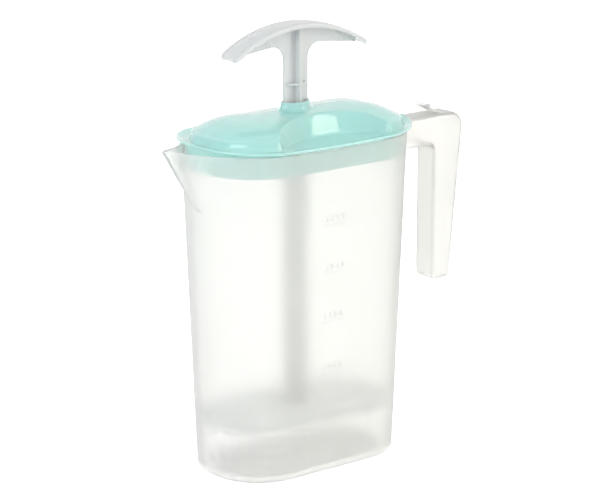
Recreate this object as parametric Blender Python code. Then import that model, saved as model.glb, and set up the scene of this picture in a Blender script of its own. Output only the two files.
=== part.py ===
"""Oval mixing pitcher: a moulded jug with spout and hook handle, a domed lid,
a T-handled plunger that slides through the lid, and a perforated mixing disc.

Metres, +Z up. The origin is the middle of the flat base. +X points at the
handle, -X at the spout, -Y at the graduated side.
"""
import math

import bmesh
import bpy
from mathutils import Vector

# Pitcher body, outside
BODY_HEIGHT = 0.2377
BASE_HALF_LENGTH = 0.0754
BASE_HALF_WIDTH = 0.0435
BASE_CORNER = 0.0395
RIM_HALF_LENGTH = 0.0843
RIM_HALF_WIDTH = 0.0510
RIM_CORNER = 0.0463
BODY_WALL = 0.0018
FLOOR_THICKNESS = 0.0022
FOOT_RADIUS = 0.0028

# Spout, a beak drawn out of the wall at the end opposite the handle
SPOUT_OVERHANG = 0.0287
SPOUT_REACH = RIM_HALF_LENGTH + SPOUT_OVERHANG
SPOUT_RISE = 0.0033
SPOUT_DEPTH = 0.0447
SPOUT_ROOT_HEIGHT = BODY_HEIGHT - SPOUT_DEPTH
SPOUT_HALF_ANGLE = math.radians(36)
SPOUT_TIP_RADIUS = 0.0014
SPOUT_BLEND = 0.0090

# Hook handle, hollow, open under its arm and at its lower end
HANDLE_WIDTH = 0.0210
HANDLE_WALL = 0.0020
HANDLE_TOP_DROP = 0.0005
HANDLE_LENGTH = 0.1252
HANDLE_TOP = BODY_HEIGHT - HANDLE_TOP_DROP
HANDLE_BOTTOM = HANDLE_TOP - HANDLE_LENGTH
HANDLE_GAP = 0.0347
HANDLE_DEPTH_TOP = 0.0290
HANDLE_DEPTH_BOTTOM = 0.0170
HANDLE_INNER_X = RIM_HALF_LENGTH + HANDLE_GAP
HANDLE_OUTER_X_TOP = HANDLE_INNER_X + HANDLE_DEPTH_TOP
HANDLE_OUTER_X_BOTTOM = HANDLE_INNER_X + HANDLE_DEPTH_BOTTOM
HANDLE_ARM_DEPTH = 0.0225
HANDLE_ARM_FLARE = 0.0100
HANDLE_CORNER = 0.0105
HANDLE_CROTCH = 0.0060
HANDLE_EDGE_RADIUS = 0.0035
THUMB_LIP_REACH = 0.0200
THUMB_LIP_RISE = 0.0060
THUMB_LIP_CURL = 0.0013
THUMB_LIP_WIDTH = 0.0150
THUMB_LIP_THICKNESS = 0.0014

# Lid
RIM_GAP = 0.0003
FLANGE_OVERHANG = 0.0016
FLANGE_END_OVERHANG = 0.0038
FLANGE_END_LIFT = 0.0028
BRIM_WIDTH = 0.0060
FLANGE_THICKNESS = 0.0020
LID_SEAT = BODY_HEIGHT + RIM_GAP
LID_TOP = LID_SEAT + FLANGE_THICKNESS
FLANGE_EDGE_RADIUS = 0.0008
LID_WALL = 0.0016
SKIRT_DEPTH = 0.0160
SKIRT_CLEARANCE = 0.0004
DOME_INSET = 0.0086
DOME_SHIFT = 0.0022
DOME_STEP = 0.0066
DOME_STEP_LEAN = 0.0018
DOME_EDGE_RADIUS = 0.0030
DOME_RISE = 0.0100
CREST_HALF_WIDTH = 0.0006
SCOOP_MIDDLE_X = 0.0080
SCOOP_FLOOR_SINK = 0.0008
SCOOP_FLOOR_WAIST = 0.0240
SCOOP_EDGE_WAIST = 0.0155
SCOOP_FLOOR_SPOUT_REACH = 0.0560
SCOOP_EDGE_SPOUT_REACH = 0.0590
SCOOP_FLOOR_HANDLE_REACH = 0.0470
SCOOP_EDGE_HANDLE_REACH = 0.0500
SCOOP_FLOOR_RADIUS = 0.0030
COLLAR_RISE = 0.0054
COLLAR_TOP = LID_TOP + DOME_STEP + DOME_RISE + COLLAR_RISE
COLLAR_WALL = 0.0012
COLLAR_FLARE = 0.0030

# Plunger: T-grip and cross-shaped stem
STEM_HALF_LENGTH = 0.0102
STEM_HALF_WIDTH = 0.0070
STEM_WEB = 0.0022
STEM_CLEARANCE = 0.0004
GUSSET_RISE = 0.0117
GUSSET_HEIGHT = COLLAR_TOP + GUSSET_RISE
GUSSET_THICKNESS = 0.0016
GUSSET_SPACING = 0.0600
GRIP_RISE = 0.0560
GRIP_TOP = COLLAR_TOP + GRIP_RISE
GRIP_ARCH_RADIUS = 0.1020
GRIP_HALF_LENGTH = 0.0590
GRIP_WIDTH = 0.0205
GRIP_STRIP = 0.0024
GRIP_CROWN = 0.0008
GRIP_LIP_WIDTH = 0.0018
GRIP_EDGE_DEPTH = 0.0036
GRIP_END_RADIUS = 0.0050
GRIP_WEB_END_DROP = 0.0195
GRIP_WEB_MIDDLE_DROP = 0.0150
GRIP_WEB_LOWEST = GRIP_TOP - GRIP_WEB_END_DROP
GRIP_WEB_HIGHEST = GRIP_TOP - GRIP_WEB_MIDDLE_DROP
GRIP_WEB_END = 0.0520
GRIP_THROAT_RADIUS = 0.0100

# Mixing disc
DISC_UNDERSIDE = 0.0333
DISC_DEPTH = 0.0055
DISC_PLATE = 0.0020
DISC_WALL = 0.0016
DISC_CLEARANCE = 0.0012
DISC_HOLE_RADIUS = 0.0045
DISC_HOLE_MARGIN = 0.0040
DISC_BOSS_HEIGHT = 0.0022
DISC_BOSS_WALL = 0.0018
STEM_SEAT_GAP = 0.0003

# One overrun for every cut
OVERRUN = 0.0030

# Facet counts
ARC_STEPS = 14
SMALL_ARC_STEPS = 6
SPOUT_RINGS = 9
DOME_RINGS = 7
LENS_STEPS = 32
GRIP_STEPS = 26
HOLE_STEPS = 14
SCOOP_STEPS = 24

# Hole counts, to each side of the disc's middle
HOLE_COLUMNS = 4
HOLE_ROWS = 2

# Angles, as turns along a round
DOME_EDGE_TURN = math.radians(60)
THUMB_LIP_CURL_TURN = math.radians(115)
SCOOP_FOOT_TURNS = (0.0, math.radians(20), math.radians(40), math.radians(62))

# Shares: an oval's corner against its half width, the spout's spread, the handle's flare
LEAST_CORNER_SHARE = 0.60
MOST_CORNER_SHARE = 0.98
SPOUT_SPREAD_SHARE = 0.75
SPOUT_BLEND_START_SHARE = 0.33
HANDLE_FLARE_SHARE = 0.90

# Shares: how the lid's dome fills out, how its scoops open, how the collar flares,
# the grip's crown, and the room left past the disc's last holes
DOME_RIDGE_SHARE = 0.25
DOME_FULLNESS_POWER = 3.0
DOME_SPACING_POWER = 1.5
LENS_POWER = 1.5
COLLAR_SIDE_FLARE_SHARE = 0.25
COLLAR_FLARE_RISE_SHARE = 1.5
SCOOP_WALL_SHARE = 0.8
GRIP_CROWN_SHARES = (-0.9, -0.45, 0.0, 0.45, 0.9)
HOLE_END_SHARE = 0.15
HOLE_SIDE_SHARE = 0.34


def clear_scene():
    """Empty the scene."""
    for item in list(bpy.context.scene.objects):
        bpy.data.objects.remove(item, do_unlink=True)


def material(name, colour, roughness, alpha=1.0):
    """A plain plastic with its colour, roughness and see-through share."""
    made = bpy.data.materials.new(name)
    made.use_nodes = True
    shader = made.node_tree.nodes["Principled BSDF"]
    shader.inputs["Base Color"].default_value = (*colour, 1.0)
    shader.inputs["Roughness"].default_value = roughness
    shader.inputs["Metallic"].default_value = 0.0
    shader.inputs["Alpha"].default_value = alpha
    return made


def add_object(name, mesh_builder, finish=None, smooth_angle=math.radians(32)):
    """Turn a bmesh into a named object, its faces pointing out."""
    bmesh.ops.recalc_face_normals(mesh_builder, faces=mesh_builder.faces)
    mesh = bpy.data.meshes.new(name)
    mesh_builder.to_mesh(mesh)
    mesh_builder.free()
    made = bpy.data.objects.new(name, mesh)
    bpy.context.scene.collection.objects.link(made)
    if finish:
        mesh.materials.append(finish)
    mesh.shade_smooth()
    mesh.set_sharp_from_angle(angle=smooth_angle)
    return made


def add_guide(name, mesh_builder):
    """A tool body: it shapes another piece and is not a piece itself."""
    made = add_object(name, mesh_builder)
    made.hide_render = True
    made.display_type = "WIRE"
    return made


def combine(target, tool, operation):
    """Join a tool body to a piece, or cut it away."""
    step = target.modifiers.new(f"{operation.lower()} {tool.name}", "BOOLEAN")
    step.operation = operation
    step.solver = "EXACT"
    step.object = tool


def mix(start, end, share):
    """The value a share of the way from start to end."""
    return start + (end - start) * share


def arc(centre, radius, start, end, steps):
    """Points on an arc, both ends included."""
    return [(centre[0] + radius * math.cos(mix(start, end, i / steps)),
             centre[1] + radius * math.sin(mix(start, end, i / steps)))
            for i in range(steps + 1)]


def oval(half_length, half_width, corner):
    """A rounded rectangle, anticlockwise, with a point at each end's middle."""
    corner = min(max(corner, half_width * LEAST_CORNER_SHARE), half_width * MOST_CORNER_SHARE)
    across, along = half_length - corner, half_width - corner
    points = []
    for quarter, (sx, sy) in enumerate(((1, 1), (-1, 1), (-1, -1), (1, -1))):
        start = quarter * math.pi / 2
        points += arc((sx * across, sy * along), corner, start, start + math.pi / 2, ARC_STEPS)
        if quarter == 1:
            points.append((-half_length, 0.0))
    points.append((half_length, 0.0))
    return points


def body_size(height, inset):
    """The oval's half length, half width and corner at a height of the tapered wall."""
    share = height / BODY_HEIGHT
    return (mix(BASE_HALF_LENGTH, RIM_HALF_LENGTH, share) - inset,
            mix(BASE_HALF_WIDTH, RIM_HALF_WIDTH, share) - inset,
            mix(BASE_CORNER, RIM_CORNER, share) - inset)


def spouted(points, height, inset):
    """Draw the -X end of an outline out to the spout's beak at this height."""
    rise = max(0.0, (height - SPOUT_ROOT_HEIGHT) / (BODY_HEIGHT - SPOUT_ROOT_HEIGHT))
    root_end = body_size(SPOUT_ROOT_HEIGHT, 0.0)[0]
    reach = mix(root_end, SPOUT_REACH, rise) - inset / math.sin(SPOUT_HALF_ANGLE)
    spread = body_size(height, 0.0)[1] * SPOUT_SPREAD_SHARE
    drawn = []
    for x, y in points:
        if rise > 0 and x < 0 and abs(y) < spread:
            side = math.hypot(y, SPOUT_TIP_RADIUS) - SPOUT_TIP_RADIUS
            beak = side / math.tan(SPOUT_HALF_ANGLE) - reach
            overlap = max(SPOUT_BLEND - abs(x - beak), 0.0) / SPOUT_BLEND
            blend = SPOUT_BLEND / 4 * min(1.0, rise / SPOUT_BLEND_START_SHARE)
            x = min(x, beak) - overlap * overlap * blend
        drawn.append((x, y))
    return drawn


def body_ring(height, inset):
    """One ring of the body's wall, lifted toward the spout's tip."""
    points = spouted(oval(*body_size(height, inset)), height, inset)
    lift = max(0.0, (height - SPOUT_ROOT_HEIGHT) / (BODY_HEIGHT - SPOUT_ROOT_HEIGHT))
    ring = []
    for x, y in points:
        out = (-x - RIM_HALF_LENGTH) / (SPOUT_REACH - RIM_HALF_LENGTH)
        out = min(1.0, max(0.0, out))
        ring.append((x, y, height + SPOUT_RISE * out * out * (3 - 2 * out) * lift))
    return ring


def loft(rings, close_loop=False):
    """Skin rings of like count; the ends are capped unless the loop closes."""
    built = bmesh.new()
    rows = [[built.verts.new(point) for point in ring] for ring in rings]
    count = len(rows[0])
    pairs = list(zip(rows, rows[1:]))
    if close_loop:
        pairs.append((rows[-1], rows[0]))
    for low, high in pairs:
        for i in range(count):
            j = (i + 1) % count
            built.faces.new((low[i], low[j], high[j], high[i]))
    if not close_loop:
        built.faces.new(rows[0])
        built.faces.new(rows[-1])
    return built


def flat(points, height):
    """Lay plan points at a height."""
    return [(x, y, height) for x, y in points]


def rounded_path(corners):
    """A closed outline from (a, b, radius) corners, each rounded by an arc."""
    points = []
    count = len(corners)
    for i, (a, b, radius) in enumerate(corners):
        here = Vector((a, b))
        before = Vector(corners[i - 1][:2]) - here
        after = Vector(corners[(i + 1) % count][:2]) - here
        if radius == 0:
            points.append((a, b))
            continue
        before.normalize()
        after.normalize()
        half = before.angle(after) / 2
        centre = here + (before + after).normalized() * (radius / math.sin(half))
        first = here + before * (radius / math.tan(half)) - centre
        last = here + after * (radius / math.tan(half)) - centre
        turn = math.atan2(first.x * last.y - first.y * last.x, first.dot(last))
        start = math.atan2(first.y, first.x)
        points += arc(centre, radius, start, start + turn, SMALL_ARC_STEPS)
    return points


def side_plate(points, low_y, high_y):
    """An outline in the XZ plane, given thickness along Y."""
    return loft([[(x, low_y, z) for x, z in points], [(x, high_y, z) for x, z in points]])


def lens(half_length, half_width):
    """A pointed oval round the stem's cross."""
    points = []
    for i in range(LENS_STEPS):
        turn = 2 * math.pi * i / LENS_STEPS
        cos, sin = math.cos(turn), math.sin(turn)
        points.append((half_length * math.copysign(abs(cos) ** (2 / LENS_POWER), cos),
                       half_width * math.copysign(abs(sin) ** (2 / LENS_POWER), sin)))
    return points


# Pitcher body
def build_body(finish):
    """The jug: one moulding with its spout and its hook handle."""
    outer = []
    for i in range(SMALL_ARC_STEPS + 1):
        turn = math.pi / 2 * i / SMALL_ARC_STEPS
        inset = FOOT_RADIUS * (1 - math.sin(turn))
        outer.append(body_ring(FOOT_RADIUS * (1 - math.cos(turn)), inset))
    spout_heights = [mix(SPOUT_ROOT_HEIGHT, BODY_HEIGHT, i / SPOUT_RINGS)
                     for i in range(SPOUT_RINGS + 1)]
    outer += [body_ring(height, 0.0) for height in spout_heights]
    inner = [body_ring(height, BODY_WALL) for height in reversed(spout_heights)]
    inner_radius = FOOT_RADIUS - BODY_WALL
    for i in range(SMALL_ARC_STEPS // 2 + 1):
        turn = math.pi / 2 * i / (SMALL_ARC_STEPS // 2)
        inset = BODY_WALL + inner_radius * (1 - math.cos(turn))
        inner.append(body_ring(FLOOR_THICKNESS + inner_radius * (1 - math.sin(turn)), inset))
    body = add_object("pitcher_body", loft(outer + inner), finish)
    combine(body, build_handle(), "UNION")
    return body


def handle_outline(inset):
    """The hook's side view, drawn in by an inset all round but at its root."""
    arm_under = HANDLE_TOP - HANDLE_ARM_DEPTH
    flare_low = arm_under - HANDLE_ARM_FLARE
    root_top = RIM_HALF_LENGTH - BODY_WALL / 2
    root_low = body_size(flare_low, BODY_WALL / 2)[0]
    flare_out = root_low + HANDLE_ARM_FLARE * HANDLE_FLARE_SHARE
    inner = HANDLE_INNER_X + inset
    low = HANDLE_BOTTOM + inset
    return rounded_path([
        (root_low, flare_low + inset, 0), (flare_out, arm_under + inset, HANDLE_CROTCH),
        (inner, arm_under + inset, HANDLE_CROTCH + inset),
        (inner, low, HANDLE_EDGE_RADIUS), (HANDLE_OUTER_X_BOTTOM - inset, low, HANDLE_EDGE_RADIUS),
        (HANDLE_OUTER_X_TOP - inset, HANDLE_TOP - inset, HANDLE_CORNER - inset),
        (root_top, HANDLE_TOP - inset, 0)])


def build_handle():
    """The hook handle as one tool body, joined to the wall at its arm only."""
    half = HANDLE_WIDTH / 2
    turns = [math.pi / 2 * i / SMALL_ARC_STEPS for i in range(SMALL_ARC_STEPS + 1)]
    steps = [(half - HANDLE_EDGE_RADIUS * (1 - math.sin(turn)),
              HANDLE_EDGE_RADIUS * (1 - math.cos(turn))) for turn in turns]
    sides = [(-y, inset) for y, inset in reversed(steps)] + steps
    rings = [[(x, y, z) for x, z in handle_outline(inset)] for y, inset in sides]
    handle = add_guide("handle_form", loft(rings))

    arm_under = HANDLE_TOP - HANDLE_ARM_DEPTH
    slope = (HANDLE_OUTER_X_TOP - HANDLE_OUTER_X_BOTTOM) / (HANDLE_TOP - HANDLE_BOTTOM)
    hollow_top = HANDLE_TOP - HANDLE_WALL
    arm_low = arm_under - HANDLE_ARM_FLARE - OVERRUN
    grip_low = HANDLE_BOTTOM - OVERRUN
    hollow = [(RIM_HALF_LENGTH + HANDLE_WALL, arm_low, 0),
              (HANDLE_INNER_X - HANDLE_CROTCH, arm_low, 0),
              (HANDLE_INNER_X - HANDLE_CROTCH, arm_under + HANDLE_WALL, 0),
              (HANDLE_INNER_X + HANDLE_WALL, arm_under + HANDLE_WALL, HANDLE_EDGE_RADIUS),
              (HANDLE_INNER_X + HANDLE_WALL, grip_low, 0),
              (HANDLE_OUTER_X_BOTTOM - HANDLE_WALL - slope * OVERRUN, grip_low, 0),
              (HANDLE_OUTER_X_TOP - HANDLE_WALL - slope * HANDLE_WALL, hollow_top,
               HANDLE_CORNER - HANDLE_WALL),
              (RIM_HALF_LENGTH + HANDLE_WALL, hollow_top, 0)]
    inside = half - HANDLE_WALL
    channel = add_guide("handle_hollow", side_plate(rounded_path(hollow), -inside, inside))
    combine(handle, channel, "DIFFERENCE")
    combine(handle, build_thumb_lip(), "UNION")
    return handle


def build_thumb_lip():
    """The tongue on the arm's top, where the thumb rests, its tip rolled up."""
    start_x = HANDLE_OUTER_X_TOP - HANDLE_CORNER
    middle = HANDLE_TOP - THUMB_LIP_THICKNESS / 2
    line = []
    for i in range(SMALL_ARC_STEPS * 2 + 1):
        share = i / (SMALL_ARC_STEPS * 2)
        line.append(Vector((start_x - THUMB_LIP_REACH * share,
                            middle + THUMB_LIP_RISE * share * share)))
    lean = math.atan2(2 * THUMB_LIP_RISE, THUMB_LIP_REACH)
    centre = line[-1] + Vector((math.sin(lean), math.cos(lean))) * THUMB_LIP_CURL
    for i in range(1, SMALL_ARC_STEPS + 1):
        turn = lean + THUMB_LIP_CURL_TURN * i / SMALL_ARC_STEPS
        line.append(centre - Vector((math.sin(turn), math.cos(turn))) * THUMB_LIP_CURL)
    under, over = [], []
    for i, point in enumerate(line):
        along = line[min(i + 1, len(line) - 1)] - line[max(i - 1, 0)]
        across = Vector((along.y, -along.x)).normalized() * (THUMB_LIP_THICKNESS / 2)
        over.append(tuple(point + across))
        under.append(tuple(point - across))
    half = THUMB_LIP_WIDTH / 2
    return add_guide("thumb_lip_form", side_plate(under + over[::-1], -half, half))


# Lid
def flange_size(inset):
    """The flange's oval, inset from its edge."""
    return (RIM_HALF_LENGTH + FLANGE_END_OVERHANG - inset,
            RIM_HALF_WIDTH + FLANGE_OVERHANG - inset,
            RIM_CORNER + FLANGE_OVERHANG - inset)


def brim_ring(inset, height):
    """A ring of the flange's outer edge, which turns up toward its two ends."""
    half_length = flange_size(0.0)[0]
    return [(x, y, height + FLANGE_END_LIFT * (x / half_length) ** 2)
            for x, y in oval(*flange_size(inset))]


def dome_outline(inset):
    """The dome's oval: inset from the flange, and set toward the handle."""
    half_length, half_width, corner = flange_size(inset)
    points = oval(half_length + DOME_SHIFT, half_width, corner)
    return [(x + DOME_SHIFT, y) for x, y in points]


def dome_height(share):
    """How high the dome stands over its step, for a share of the way to its crest."""
    round_part = 1 - (1 - share) ** DOME_FULLNESS_POWER
    return DOME_RISE * mix(round_part, share, DOME_RIDGE_SHARE)


def dome_rings(wall):
    """The dome's rings from its foot to its crest, drawn in by a wall for its inside."""
    rings = []
    shoulder = LID_TOP + DOME_STEP - wall
    inset = DOME_INSET + wall
    for i in range(SMALL_ARC_STEPS // 2 + 1):
        turn = DOME_EDGE_TURN * i / (SMALL_ARC_STEPS // 2)
        lean = DOME_STEP_LEAN + DOME_EDGE_RADIUS * (1 - math.cos(turn))
        height = shoulder - DOME_EDGE_RADIUS * (1 - math.sin(turn))
        rings.append(flat(dome_outline(inset + lean), height))
    first = inset + DOME_STEP_LEAN + DOME_EDGE_RADIUS
    last = RIM_HALF_WIDTH + FLANGE_OVERHANG - CREST_HALF_WIDTH
    for i in range(DOME_RINGS + 1):
        share = 1 - (1 - i / DOME_RINGS) ** DOME_SPACING_POWER
        rings.append(flat(dome_outline(mix(first, last, share)), shoulder + dome_height(share)))
    return rings


def scoop(side, wall):
    """A finger scoop's cutter on one side, half an oval in plan; a wall keeps plastic round it."""
    floor = LID_TOP - SCOOP_FLOOR_SINK - wall
    middle = RIM_HALF_WIDTH + FLANGE_OVERHANG + OVERRUN
    rings = []
    levels = [(SCOOP_FLOOR_RADIUS * (1 - math.sin(turn)), SCOOP_FLOOR_RADIUS * (1 - math.cos(turn)))
              for turn in SCOOP_FOOT_TURNS]
    levels.append((0.0, COLLAR_TOP + OVERRUN - floor))
    foot = levels[-2][1]
    for out, up in levels:
        rise = max(0.0, up - foot) / (DOME_STEP + DOME_RISE)
        grown = wall * SCOOP_WALL_SHARE - out
        depth = middle - mix(SCOOP_FLOOR_WAIST, SCOOP_EDGE_WAIST, rise) + grown
        to_spout = mix(SCOOP_FLOOR_SPOUT_REACH, SCOOP_EDGE_SPOUT_REACH, rise) + grown
        to_handle = mix(SCOOP_FLOOR_HANDLE_REACH, SCOOP_EDGE_HANDLE_REACH, rise) + grown
        ring = []
        for i in range(SCOOP_STEPS + 1):
            turn = math.pi * i / SCOOP_STEPS
            reach = to_handle if 2 * i < SCOOP_STEPS else to_spout
            ring.append((SCOOP_MIDDLE_X + reach * math.cos(turn),
                         side * (middle - depth * math.sin(turn)), floor + up))
        rings.append(ring)
    return loft(rings)


def collar_form():
    """The collar round the stem, flared into the dome at its foot."""
    length = STEM_HALF_LENGTH + STEM_CLEARANCE * 2 + COLLAR_WALL
    width = STEM_HALF_WIDTH + STEM_CLEARANCE + COLLAR_WALL
    side_flare = COLLAR_FLARE * COLLAR_SIDE_FLARE_SHARE
    rings = [flat(lens(length + COLLAR_FLARE, width + side_flare), LID_SEAT)]
    foot = LID_TOP + DOME_STEP + DOME_RISE - COLLAR_FLARE
    for i in range(SMALL_ARC_STEPS + 1):
        turn = math.pi / 2 * i / SMALL_ARC_STEPS
        out = 1 - math.sin(turn)
        height = foot + COLLAR_FLARE * (1 - math.cos(turn)) * COLLAR_FLARE_RISE_SHARE
        rings.append(flat(lens(length + COLLAR_FLARE * out, width + side_flare * out), height))
    rings.append(flat(lens(length, width), COLLAR_TOP))
    return loft(rings)


def stem_hole(low, high):
    """The way through for the stem: its cross keeps it from turning."""
    length = STEM_HALF_LENGTH + STEM_CLEARANCE * 2
    width = STEM_HALF_WIDTH + STEM_CLEARANCE
    return loft([flat(lens(length, width), low), flat(lens(length, width), high)])


def build_lid(finish):
    """The lid: flange, plug skirt, domed top with two finger scoops, stem collar."""
    skirt_inset = BODY_WALL + SKIRT_CLEARANCE
    skirt_low = LID_SEAT - SKIRT_DEPTH
    rings = [flat(oval(*body_size(skirt_low, skirt_inset)), skirt_low),
             flat(oval(*body_size(BODY_HEIGHT, skirt_inset)), LID_SEAT),
             brim_ring(FLANGE_EDGE_RADIUS / 2, LID_SEAT),
             brim_ring(0.0, LID_SEAT + FLANGE_EDGE_RADIUS / 2),
             brim_ring(0.0, LID_TOP - FLANGE_EDGE_RADIUS),
             brim_ring(FLANGE_EDGE_RADIUS, LID_TOP),
             flat(oval(*flange_size(BRIM_WIDTH)), LID_TOP)]
    lid = add_object("lid", loft(rings), finish)

    foot = flat(dome_outline(DOME_INSET), mix(LID_SEAT, LID_TOP, 0.5))
    dome = add_guide("dome_form", loft([foot] + dome_rings(0.0)))
    for side, name in ((-1, "front"), (1, "back")):
        combine(dome, add_guide(f"{name}_scoop", scoop(side, 0.0)), "DIFFERENCE")
    combine(lid, dome, "UNION")
    combine(lid, add_guide("collar_form", collar_form()), "UNION")

    inset = skirt_inset + LID_WALL
    cavity_rings = [flat(oval(*body_size(skirt_low - OVERRUN, inset)), skirt_low - OVERRUN),
                    flat(oval(*body_size(BODY_HEIGHT, inset)), LID_SEAT),
                    flat(dome_outline(DOME_INSET + LID_WALL), LID_SEAT)]
    cavity = add_guide("lid_cavity", loft(cavity_rings + dome_rings(LID_WALL)))
    for side, name in ((-1, "front"), (1, "back")):
        combine(cavity, add_guide(f"{name}_scoop_under", scoop(side, LID_WALL)), "DIFFERENCE")
    combine(lid, cavity, "DIFFERENCE")
    hole = add_guide("stem_hole", stem_hole(LID_SEAT, COLLAR_TOP + OVERRUN))
    combine(lid, hole, "DIFFERENCE")
    return lid


# Plunger
def arch_height(x, drop):
    """The grip's arch at a distance from its middle, a drop below its top."""
    radius = GRIP_ARCH_RADIUS
    return GRIP_TOP - radius + math.sqrt((radius - drop) ** 2 - x * x)


def grip_strip():
    """The arched top strip: a crowned band with its long edges turned down."""
    rings = []
    for i in range(GRIP_STEPS + 1):
        x = GRIP_HALF_LENGTH * math.sin(math.pi / 2 * (2 * i / GRIP_STEPS - 1))
        to_end = min(GRIP_HALF_LENGTH - abs(x), GRIP_END_RADIUS)
        gone = GRIP_END_RADIUS - to_end
        half = GRIP_WIDTH / 2 - GRIP_END_RADIUS + math.sqrt(GRIP_END_RADIUS ** 2 - gone ** 2)
        half = max(half, GRIP_WIDTH / 2 - GRIP_END_RADIUS + GRIP_LIP_WIDTH)
        inner = half - GRIP_LIP_WIDTH
        tilt = math.asin(x / GRIP_ARCH_RADIUS)
        ring = []
        section = [(-half, GRIP_EDGE_DEPTH), (-half, GRIP_CROWN + GRIP_LIP_WIDTH / 3)]
        section += [(half * side, GRIP_CROWN * side * side) for side in GRIP_CROWN_SHARES]
        section += [(half, GRIP_CROWN + GRIP_LIP_WIDTH / 3), (half, GRIP_EDGE_DEPTH),
                    (inner, GRIP_EDGE_DEPTH), (inner, GRIP_STRIP), (-inner, GRIP_STRIP),
                    (-inner, GRIP_EDGE_DEPTH)]
        for y, drop in section:
            radius = GRIP_ARCH_RADIUS - drop
            ring.append((radius * math.sin(tilt), y,
                         GRIP_TOP - GRIP_ARCH_RADIUS + radius * math.cos(tilt)))
        rings.append(ring)
    return loft(rings)


def build_plunger(finish):
    """The plunger handle: T-grip and cross-shaped stem, one moulding."""
    foot = DISC_UNDERSIDE + DISC_PLATE + STEM_SEAT_GAP
    sunk = GRIP_STRIP / 2
    half = STEM_HALF_LENGTH
    end_top = arch_height(GRIP_WEB_END, sunk)
    outline = [(half, foot, 0), (half, GRIP_WEB_HIGHEST, GRIP_THROAT_RADIUS),
               (GRIP_WEB_END, GRIP_WEB_LOWEST, 0), (GRIP_WEB_END, end_top, 0)]
    for i in range(1, GRIP_STEPS):
        x = mix(GRIP_WEB_END, -GRIP_WEB_END, i / GRIP_STEPS)
        outline.append((x, arch_height(x, sunk), 0))
    outline += [(-GRIP_WEB_END, end_top, 0), (-GRIP_WEB_END, GRIP_WEB_LOWEST, 0),
                (-half, GRIP_WEB_HIGHEST, GRIP_THROAT_RADIUS), (-half, foot, 0)]
    web = side_plate(rounded_path(outline), -STEM_WEB / 2, STEM_WEB / 2)
    plunger = add_object("plunger_handle", web, finish)

    cross_top = arch_height(STEM_WEB, sunk)
    cross = [flat([(-STEM_WEB / 2, -STEM_HALF_WIDTH), (STEM_WEB / 2, -STEM_HALF_WIDTH),
                   (STEM_WEB / 2, STEM_HALF_WIDTH), (-STEM_WEB / 2, STEM_HALF_WIDTH)], height)
             for height in (foot, cross_top)]
    combine(plunger, add_guide("cross_web_form", loft(cross)), "UNION")
    combine(plunger, add_guide("grip_strip_form", grip_strip()), "UNION")
    gussets = int((GUSSET_HEIGHT - foot - DISC_DEPTH) / GUSSET_SPACING) + 1
    plate_edge = lens(STEM_HALF_LENGTH - STEM_WEB / 4, STEM_HALF_WIDTH - STEM_WEB / 4)
    for i in range(gussets):
        height = GUSSET_HEIGHT - GUSSET_SPACING * i
        plate = [flat(plate_edge, height), flat(plate_edge, height + GUSSET_THICKNESS)]
        combine(plunger, add_guide(f"gusset_{i + 1}", loft(plate)), "UNION")
    return plunger


# Mixing disc
def disc_size(inset):
    """The disc's oval, sized to pass the foot of the tapered body."""
    clear = BODY_WALL + DISC_CLEARANCE + inset
    return body_size(0.0, clear)


def fits_oval(x, y, size):
    """Whether a point lies inside an oval."""
    half_length, half_width, corner = size
    across = max(abs(x) - (half_length - corner), 0.0)
    along = max(abs(y) - (half_width - corner), 0.0)
    return abs(x) < half_length and abs(y) < half_width and math.hypot(across, along) < corner


def disc_holes():
    """Round holes in staggered rows, clear of the rim and of the boss."""
    built = bmesh.new()
    limit = disc_size(DISC_WALL + DISC_HOLE_MARGIN + DISC_HOLE_RADIUS)
    boss = lens_reach() + DISC_HOLE_MARGIN + DISC_HOLE_RADIUS
    column_pitch = limit[0] / (HOLE_COLUMNS + HOLE_END_SHARE)
    row_pitch = limit[1] / (HOLE_ROWS + HOLE_SIDE_SHARE)
    low, high = DISC_UNDERSIDE - OVERRUN, DISC_UNDERSIDE + DISC_DEPTH + OVERRUN
    for row in range(-HOLE_ROWS, HOLE_ROWS + 1):
        for column in range(-HOLE_COLUMNS, HOLE_COLUMNS + 1):
            x = (column + (row % 2) / 2) * column_pitch
            y = row * row_pitch
            if not fits_oval(x, y, limit) or math.hypot(x, y) < boss:
                continue
            made = bmesh.ops.create_cone(built, cap_ends=True, segments=HOLE_STEPS,
                                         radius1=DISC_HOLE_RADIUS, radius2=DISC_HOLE_RADIUS,
                                         depth=high - low)
            bmesh.ops.translate(built, verts=made["verts"], vec=(x, y, (low + high) / 2))
    return built


def lens_reach():
    """The boss's half length."""
    return STEM_HALF_LENGTH + STEM_CLEARANCE * 2 + DISC_BOSS_WALL


def build_disc(finish):
    """The mixing disc: a perforated plate with a rim and a socket for the stem."""
    top = DISC_UNDERSIDE + DISC_DEPTH
    under = top - DISC_PLATE
    rings = [flat(oval(*disc_size(DISC_WALL)), under),
             flat(oval(*disc_size(DISC_WALL)), DISC_UNDERSIDE),
             flat(oval(*disc_size(0.0)), DISC_UNDERSIDE),
             flat(oval(*disc_size(0.0)), top)]
    disc = add_object("mixing_disc", loft(rings), finish)
    combine(disc, add_guide("disc_holes", disc_holes()), "DIFFERENCE")
    width = STEM_HALF_WIDTH + STEM_CLEARANCE + DISC_BOSS_WALL
    boss = [flat(lens(lens_reach(), width), level)
            for level in (DISC_UNDERSIDE, top + DISC_BOSS_HEIGHT)]
    combine(disc, add_guide("boss_form", loft(boss)), "UNION")
    socket = stem_hole(DISC_UNDERSIDE + DISC_PLATE, top + DISC_BOSS_HEIGHT + OVERRUN)
    combine(disc, add_guide("stem_socket", socket), "DIFFERENCE")
    return disc


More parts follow.
